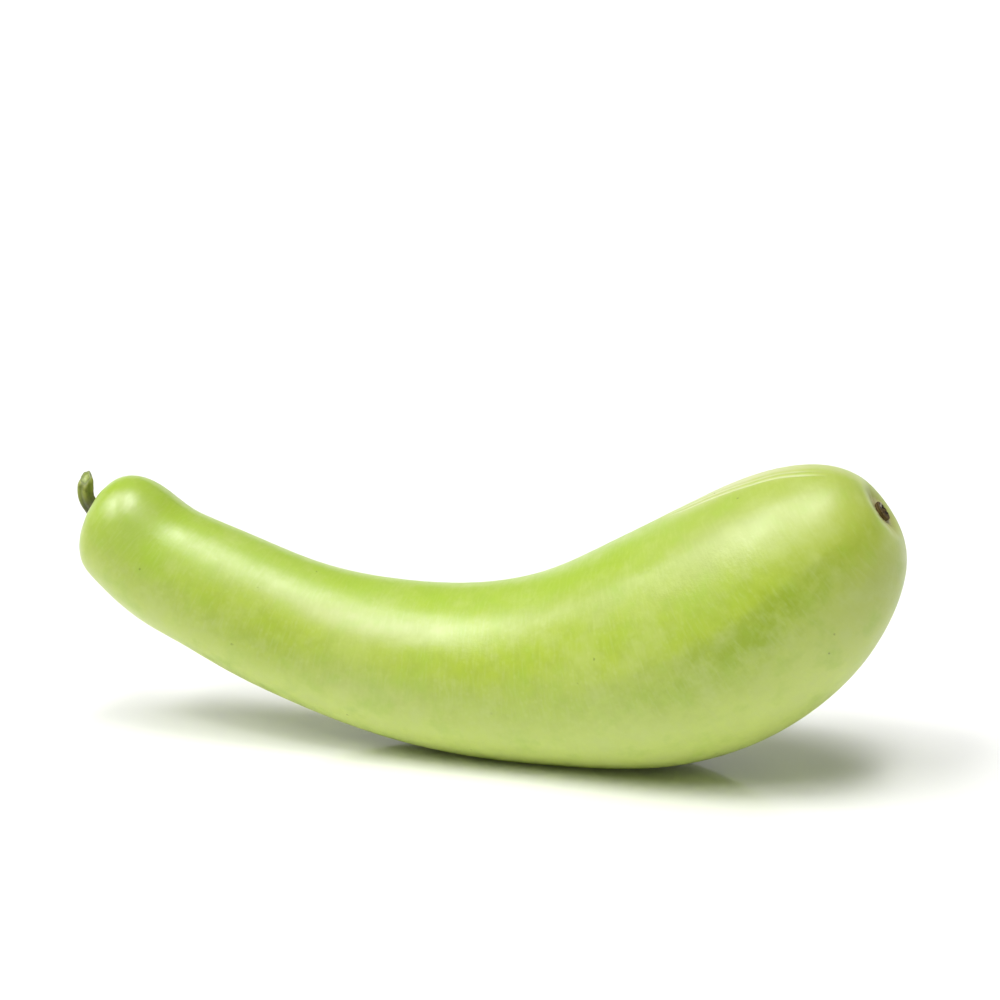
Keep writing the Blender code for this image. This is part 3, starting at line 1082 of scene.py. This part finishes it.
    def flecks(self, tree: bpy.types.NodeTree, straight: bpy.types.NodeSocket) -> bpy.types.NodeSocket:
        """Add ragged dark flecks about 0.4 to 1 mm wide, old bruises and insect marks.

        Args:
            tree: the material's node tree.
            straight: positions on the unbent fruit.

        Returns:
            The socket of the share that they cover.
        """
        links = {"Vector": straight, "Scale": per(self.ragged_size), "Detail": 1.0}
        ragged = node(tree, "TexNoise", links).outputs["Color"]
        links = {0: ragged, 1: (self.fleck_ragged,) * 3, 2: straight}
        moved = node(tree, "VectorMath", links, operation="MULTIPLY_ADD").outputs[0]
        cells = node(tree, "TexVoronoi", {"Vector": moved, "Scale": per(self.fleck_size)})
        drawn = node(tree, "SeparateColor", {0: cells.outputs["Color"]})
        chosen = node(tree, "Math", {0: drawn.outputs[0], 1: self.fleck_empty}, operation="GREATER_THAN")
        width = node(tree, "MapRange", self.fleck_width.of(drawn.outputs[1]))
        shape = Ramp(self.fleck_core, low=self.fleck_strength, high=0.0).of(cells.outputs["Distance"])
        spot = node(tree, "MapRange", {**shape, 2: width.outputs[0]})
        links = {0: chosen.outputs[0], 1: spot.outputs[0]}
        return node(tree, "Math", links, operation="MULTIPLY").outputs[0]

    def pattern_layers(
        self, tree: bpy.types.NodeTree, noises: dict
    ) -> list[tuple[bpy.types.NodeSocket, str]]:
        """Patches paler by more wax, lengthwise green streaks, mottling, and the pale pores of the skin.

        Args:
            tree: the material's node tree.
            noises: the noises' sockets.

        Returns:
            The share and the colour of each layer.
        """
        patterns = (
            ("patch", self.patch_ramp, self.pale),
            ("streak", self.streak_ramp, self.fresh),
            ("mottle", self.mottle_ramp, self.olive),
            ("pore", self.pore_ramp, self.freckle),
        )
        return [
            (node(tree, "MapRange", ramp.of(noises[name])).outputs[0], tint) for name, ramp, tint in patterns
        ]

    def grown_layers(
        self, tree: bpy.types.NodeTree, noises: dict, read: dict
    ) -> list[tuple[bpy.types.NodeSocket, str]]:
        """Colours of growth and painted light: a greener back and young end, a pale belly with painted light
        from the table, a riper blossom end, and patches of pale wax and pale skin with painted highlight and
        of deeper green with painted shade.

        Args:
            tree: the material's node tree.
            noises: the noises' sockets.
            read: the skin's stored values.

        Returns:
            The share and the colour of each layer.
        """
        back = node(tree, "MapRange", self.back_ramp.of(read["upness"]), **SOFT)
        young = node(tree, "MapRange", self.young_ramp.of(read["from_stalk"]), **SOFT)
        upper = node(tree, "MapRange", self.upper_ramp.of(read["upness"]), **SOFT)
        shoot = node(tree, "Math", {0: young.outputs[0], 1: upper.outputs[0]}, operation="MULTIPLY")
        greener = node(tree, "Math", {0: back.outputs[0], 1: shoot.outputs[0]}, operation="MAXIMUM")
        # A paler belly: a ground spot, and painted light from the white table below
        belly = node(tree, "MapRange", self.belly_light_ramp.of(read["upness"]), **SOFT)
        riper = node(tree, "MapRange", self.ripe_ramp.of(read["from_scar"]), **SOFT)
        # Paler wax laid along the highlight line: skin colour and painted highlight
        cloudy = node(tree, "MapRange", self.wax_and_highlight_ramp.of(noises["patch"]))
        waxed_and_highlit = node(tree, "Math", {0: read["wax_and_highlight"], 1: cloudy.outputs[0]}, operation="MULTIPLY")
        # Deeper green on the front, partly painted shade under the soft edge of the thick end
        blotchy = node(tree, "MapRange", self.deep_shade_ramp.of(noises["mottle"]))
        deeper_and_shaded = node(tree, "Math", {0: read["deep"], 1: blotchy.outputs[0]}, operation="MULTIPLY")
        return [
            (greener.outputs[0], self.fresh),
            (belly.outputs[0], self.ground),
            (riper.outputs[0], self.ripe),
            (waxed_and_highlit.outputs[0], self.wax_and_highlight),
            (read["pale_and_highlight"], self.pale_and_highlight),
            (deeper_and_shaded.outputs[0], self.deep),
        ]

    def fine_layers(
        self, tree: bpy.types.NodeTree, noises: dict, read: dict
    ) -> list[tuple[bpy.types.NodeSocket, str]]:
        """Small pale and green clouds, cross streaks left as the skin stretched, and the crease's dry lips.

        Args:
            tree: the material's node tree.
            noises: the noises' sockets.
            read: the skin's stored values.

        Returns:
            The share and the colour of each layer.
        """
        patterns = (
            (noises["cloud"], self.pale_cloud_ramp, self.pale),
            (noises["cloud"], self.green_cloud_ramp, self.fresh),
            (noises["cross"], self.cross_ramp, self.pale),
            (read["crease"], self.lip_ramp, self.dry),
        )
        return [(node(tree, "MapRange", ramp.of(value)).outputs[0], tint) for value, ramp, tint in patterns]

    def roughness(
        self,
        tree: bpy.types.NodeTree,
        noises: dict,
        zone: bpy.types.NodeSocket,
        polish: bpy.types.NodeSocket,
    ) -> bpy.types.NodeSocket:
        """Satin wax, uneven with the mottling, dull on the cork and smoother where it is rubbed.

        Args:
            tree: the material's node tree.
            noises: the noises' sockets.
            zone: the share of the corky zone.
            polish: the share of the rubbed patches.

        Returns:
            The socket of the roughness.
        """
        links = {0: noises["mottle"], 1: self.mottle_gloss, 2: noises["patch"]}
        worn = node(tree, "Math", links, operation="MULTIPLY_ADD").outputs[0]
        rough = node(tree, "MapRange", self.gloss_ramp.of(worn)).outputs[0]
        for share, change in ((zone, self.cork_dullness), (polish, self.polish_gain)):
            rough = node(tree, "Math", {0: share, 1: change, 2: rough}, operation="MULTIPLY_ADD").outputs[0]
        return node(tree, "Math", {0: rough, 1: self.smoothest}, operation="MAXIMUM").outputs[0]


@dataclass(frozen=True)
class StalkSkin:
    """Green stem, cut fresh: ridged matt bark, painted shade and brown scabs at the base, and pale wet pith
    on the cut.
    """

    bark: str = "#728019"
    ridge: str = "#9aa344"
    dark: str = "#4c5210"
    # painted shade at the foot of the stalk, where it meets the fruit
    base: str = "#33360a"
    scab: str = "#5a4a2c"
    pith: str = "#8a9a38"
    heart: str = "#bccb74"
    ring: str = "#616f1c"
    fibre_size: float = 2.3809524  # millimetres
    blotch_size: float = 6.6666667
    unevenness: float = -0.005
    dark_ramp: Ramp = Ramp(0.45, 0.70, high=0.6)
    base_shade_ramp: Ramp = Ramp(0.0, 0.0075, 0.85, 0.0)
    scab_ramp: Ramp = Ramp(-0.003, 0.0008, 0.9, 0.0)
    pith_ramp: Ramp = Ramp(0.08, 0.30)
    heart_ramp: Ramp = Ramp(0.45, 0.80, high=0.9)
    fray_ramp: Ramp = Ramp(0.35, 0.60, low=0.3)
    roughness: Ramp = Ramp(low=0.55, high=0.35)  # from the bark to the wet cut

    def material(self) -> bpy.types.Material:
        """Make the stalk's material.

        Returns:
            The material.
        """
        made, tree, shader = new_finish("green_stem_bark")
        place = node(tree, "TexCoord").outputs["Object"]
        names = ("height", "ridge", "cut_face", "inwards")
        read = {name: node(tree, "Attribute", attribute_name=name).outputs["Fac"] for name in names}
        links = {"Vector": place, "Scale": per(self.fibre_size), "Detail": 4.0, "Roughness": 0.65}
        fibres = node(tree, "TexNoise", links).outputs[0]
        blotch = node(tree, "TexNoise", {"Vector": place, "Scale": per(self.blotch_size), "Detail": 2.0})

        # Matt bark, darker between its fibres, with painted shade darkening it towards the base, and brown
        # scabs there
        worn = node(tree, "MapRange", self.dark_ramp.of(fibres))
        links = {0: blotch.outputs[0], 1: self.unevenness, 2: read["height"]}
        uneven = node(tree, "Math", links, operation="MULTIPLY_ADD").outputs[0]
        painted_base_shade = node(tree, "MapRange", self.base_shade_ramp.of(uneven), **SOFT)
        scabby = node(tree, "MapRange", self.scab_ramp.of(uneven))
        layers = (
            (read["ridge"], self.ridge),
            (worn.outputs[0], self.dark),
            (painted_base_shade.outputs[0], self.base),
            (scabby.outputs[0], self.scab),
        )
        bark = layered(tree, self.bark, layers)

        # The wet cut: a darker ring of bark, pith, and a pale frayed heart
        pith = node(tree, "MapRange", self.pith_ramp.of(read["inwards"]))
        heart = node(tree, "MapRange", self.heart_ramp.of(read["inwards"]), **SOFT)
        frayed = node(tree, "MapRange", self.fray_ramp.of(fibres))
        hearted = node(tree, "Math", {0: heart.outputs[0], 1: frayed.outputs[0]}, operation="MULTIPLY")
        cut = layered(tree, self.ring, ((pith.outputs[0], self.pith), (hearted.outputs[0], self.heart)))
        links = {FACTOR: read["cut_face"], UNDER: bark, OVER: cut}
        colour = node(tree, "Mix", links, data_type="RGBA").outputs[MIXED]
        tree.links.new(colour, shader.inputs["Base Color"])
        bump = node(tree, "Bump", {"Strength": 0.5, "Distance": 0.2 * MM, "Height": fibres})
        tree.links.new(bump.outputs[0], shader.inputs["Normal"])
        rough = node(tree, "MapRange", self.roughness.of(read["cut_face"]))
        tree.links.new(rough.outputs[0], shader.inputs["Roughness"])
        fill(shader, {"Sheen Weight": 0.25})
        return made


@dataclass(frozen=True)
class CorkyScar:
    """Dried flower base: dull dark brown cork with black cracks, a lighter lip and a grey flake on it."""

    core: str = "#33260f"
    mid: str = "#5d4a22"
    deep: str = "#120d04"
    lip: str = "#6f5b30"
    flake: str = "#c2bba4"
    grain_size: float = 0.90909091  # millimetres
    grain_ramp: Ramp = Ramp(0.35, 0.65)
    lip_ramp: Ramp = Ramp(1.02, 1.22)
    lip_grain: float = 0.5

    def material(self) -> bpy.types.Material:
        """Make the scar's material.

        Returns:
            The material.
        """
        made, tree, shader = new_finish("dry_blossom_cork")
        face = node(tree, "Attribute", attribute_name="face").outputs["Vector"]
        names = ("from_middle", "split", "flake")
        read = {name: node(tree, "Attribute", attribute_name=name).outputs["Fac"] for name in names}
        links = {"Vector": face, "Scale": per(self.grain_size), "Detail": 4.0, "Roughness": 0.7}
        grain = node(tree, "TexNoise", links).outputs[0]
        share = node(tree, "MapRange", self.grain_ramp.of(grain))
        links = {0: grain, 1: self.lip_grain, 2: read["from_middle"]}
        uneven = node(tree, "Math", links, operation="MULTIPLY_ADD").outputs[0]
        lip = node(tree, "MapRange", self.lip_ramp.of(uneven))
        layers = (
            (share.outputs[0], self.mid),
            (lip.outputs[0], self.lip),
            (read["split"], self.deep),
            (read["flake"], self.flake),
        )
        tree.links.new(layered(tree, self.core, layers), shader.inputs["Base Color"])
        bump = node(tree, "Bump", {"Strength": 0.7, "Distance": 0.2 * MM, "Height": grain})
        tree.links.new(bump.outputs[0], shader.inputs["Normal"])
        fill(shader, {"Roughness": 0.85})
        return made


@dataclass(frozen=True)
class PolishedTable:
    """White polished acrylic sheet: an even pale surface with a faint clear reflection."""

    colour: str = "#fbfbfa"
    haze_size: float = 166.66667  # millimetres
    roughness: Ramp = Ramp(low=0.06, high=0.10)

    def material(self) -> bpy.types.Material:
        """Make the table's material.

        Returns:
            The material.
        """
        made, tree, shader = new_finish("polished_white_acrylic")
        place = node(tree, "TexCoord").outputs["Object"]
        haze = node(tree, "TexNoise", {"Vector": place, "Scale": per(self.haze_size), "Detail": 2.0})
        rough = node(tree, "MapRange", self.roughness.of(haze.outputs[0]))
        tree.links.new(rough.outputs[0], shader.inputs["Roughness"])
        fill(shader, {"Base Color": linear(self.colour), "IOR": 1.45})
        return made


@dataclass(frozen=True)
class SoftLamp:
    """A soft lamp overhead, so far away that only its direction counts, fading out from its middle."""

    way: tuple[float, float, float]
    level: float
    width: float = 0.12
    depth: float = 0.11


@dataclass
class Studio:
    """The white room: table, soft lamps overhead, a low white wall all round and the camera."""

    azimuth: float = 11.95
    elevation: float = 14.08
    lens: float = 85.0
    sensor: float = 36.0
    picture: float = 1000.0
    origin_pixel: tuple[float, float] = (535.9, 751.9)
    depth: float = 0.906
    table_reach: float = 12.0
    table_drop: float = 0.00002  # the table lies this far below the flat spot
    room_level: float = 0.02
    wall_level: float = 0.66
    wall_slope: tuple[float, float, float] = (-0.07, 0.45, 0.0)  # brighter behind and a little at the left
    wall_top: tuple[float, float] = (0.14, 0.29)  # sines of the heights where the wall fades out
    wall_down: tuple[float, float, float] = (-0.04, 0.16, -1.0)  # tilted, so the wall stands higher behind
    skirting_level: float = 1.05  # a white strip all round at the floor, so that the far floor stays pale
    skirting_top: tuple[float, float] = (0.05, 0.12)
    lamps: tuple[SoftLamp, ...] = (
        SoftLamp((-0.38, -0.55, 0.74), 12.0),
        SoftLamp((0.00, -0.45, 0.89), 10.3),
        SoftLamp((-0.38, -0.33, 0.86), 18.0),
        SoftLamp((-0.70, -0.15, 0.70), 6.7),
        SoftLamp((-0.50, -0.17, 0.85), 7.0),
        SoftLamp((0.05, -0.20, 0.98), 18.0),
        SoftLamp((-0.30, -0.05, 0.95), 10.0),
        SoftLamp((0.05, -0.05, 1.00), 10.2),
        SoftLamp((0.05, 0.12, 0.99), 10.6),
    )

    def build(self) -> None:
        """Add the table, the lights, the surroundings and the camera."""
        self.table()
        self.surroundings()
        self.camera()
        bpy.context.scene.view_settings.view_transform = "Standard"

    def table(self) -> None:
        """Add the table top."""
        mesh = bpy.data.meshes.new("table_top")
        size = self.table_reach
        corners = [(-size, -size, 0), (size, -size, 0), (size, size, 0), (-size, size, 0)]
        mesh.from_pydata(corners, [], [(0, 1, 2, 3)])
        top = bpy.data.objects.new("table_top", mesh)
        bpy.context.scene.collection.objects.link(top)
        top.location.z = -self.table_drop
        mesh.materials.append(PolishedTable().material())

    def surroundings(self) -> None:
        """Light the fruit from soft lamps overhead, in a dim room with a low white wall, all far away."""
        world = bpy.data.worlds.new("pale_room")
        bpy.context.scene.world = world
        world.use_nodes = True
        tree = world.node_tree
        back = tree.nodes["Background"]
        back.inputs["Color"].default_value = linear("#ffffff")
        way = node(tree, "TexCoord").outputs["Generated"]
        total = self.walls(tree, way)
        for lamp in self.lamps:
            links = {0: self.glow(tree, way, lamp), 1: lamp.level, 2: total}
            total = node(tree, "Math", links, operation="MULTIPLY_ADD").outputs[0]

        # Behind the table the camera sees plain white
        seen = node(tree, "LightPath").outputs["Is Camera Ray"]
        shown = node(tree, "Mix", {0: seen, 2: total, 3: 1.0})
        tree.links.new(shown.outputs[0], back.inputs["Strength"])

    def walls(self, tree: bpy.types.NodeTree, way: bpy.types.NodeSocket) -> bpy.types.NodeSocket:
        """Add the nodes of the dim room, its low white wall and the white strip at the floor.

        Args:
            tree: the world's node tree.
            way: the direction that is looked in.

        Returns:
            The socket of their strength in each direction.
        """
        height, tone, rise = (
            node(tree, "VectorMath", {0: way, 1: along}, operation="DOT_PRODUCT").outputs["Value"]
            for along in (self.wall_down, self.wall_slope, UPRIGHT)
        )
        low, high = self.wall_top
        wall = node(tree, "MapRange", Ramp(-high, -low).of(height), **SOFT)
        level = node(tree, "Math", {0: tone, 1: self.wall_level}, operation="ADD")
        links = {0: wall.outputs[0], 1: level.outputs[0], 2: self.room_level}
        room = node(tree, "Math", links, operation="MULTIPLY_ADD")
        strip = Ramp(*self.skirting_top, self.skirting_level, 0.0)
        skirting = node(tree, "MapRange", strip.of(rise), **SOFT)
        links = {0: room.outputs[0], 1: skirting.outputs[0]}
        return node(tree, "Math", links, operation="MAXIMUM").outputs[0]

    def glow(
        self, tree: bpy.types.NodeTree, way: bpy.types.NodeSocket, lamp: SoftLamp
    ) -> bpy.types.NodeSocket:
        """Add the nodes of one lamp's glow.

        Args:
            tree: the world's node tree.
            way: the direction that is looked in.
            lamp: the lamp.

        Returns:
            The socket of its strength in each direction, 1 in the lamp's middle.
        """
        middle = Vector(lamp.way).normalized()
        deep = (Vector((0, 1, 0)) - middle.y * middle).normalized()
        wide = deep.cross(middle)
        powers = []
        for across, reach in ((wide, lamp.width), (deep, lamp.depth)):
            offset = node(tree, "VectorMath", {0: way, 1: across / reach}, operation="DOT_PRODUCT")
            squared = node(tree, "Math", {0: offset.outputs["Value"], 1: 2.0}, operation="POWER")
            powers.append(squared.outputs[0])
        spread = node(tree, "Math", {0: powers[0], 1: powers[1]}, operation="ADD")
        fading = node(tree, "Math", {0: spread.outputs[0], 1: -1.0}, operation="MULTIPLY")
        fade = node(tree, "Math", {0: fading.outputs[0]}, operation="EXPONENT")
        above = node(tree, "VectorMath", {0: way, 1: middle}, operation="DOT_PRODUCT")
        facing = node(tree, "Math", {0: above.outputs["Value"], 1: 0.0}, operation="GREATER_THAN")
        links = {0: fade.outputs[0], 1: facing.outputs[0]}
        return node(tree, "Math", links, operation="MULTIPLY").outputs[0]

    def camera(self) -> None:
        """Put the camera where the photograph was taken from."""
        turn, pitch = math.radians(self.azimuth), math.radians(self.elevation)
        level = math.cos(pitch)
        back = Vector((math.sin(turn) * level, -math.cos(turn) * level, math.sin(pitch)))
        right = Vector((math.cos(turn), math.sin(turn), 0))
        up = back.cross(right)
        focal = self.lens / self.sensor * self.picture
        half = self.picture / 2
        x, y = self.origin_pixel
        ray = right * (x - half) / focal - up * (y - half) / focal - back
        data = bpy.data.cameras.new("camera")
        data.lens = self.lens
        data.sensor_width = self.sensor
        data.clip_start, data.clip_end = 0.01, 100.0
        camera = bpy.data.objects.new("camera", data)
        bpy.context.scene.collection.objects.link(camera)
        camera.location = -ray * self.depth
        camera.rotation_mode = "QUATERNION"
        camera.rotation_quaternion = (-back).to_track_quat("-Z", "Y")
        bpy.context.scene.camera = camera


def main() -> None:
    """Build the gourd's pieces in order, then the studio."""
    logging.basicConfig(level=logging.INFO, format="%(name)s %(message)s")
    axis = BentAxis()
    put_on(Fruit(axis).build(), WaxyRind().material(), "fruit")
    put_on(Stalk(axis).build(), StalkSkin().material(), "stalk")
    put_on(BlossomScar(axis).build(), CorkyScar().material(), "blossom_scar")
    Studio().build()


if __name__ == "__main__":
    main()
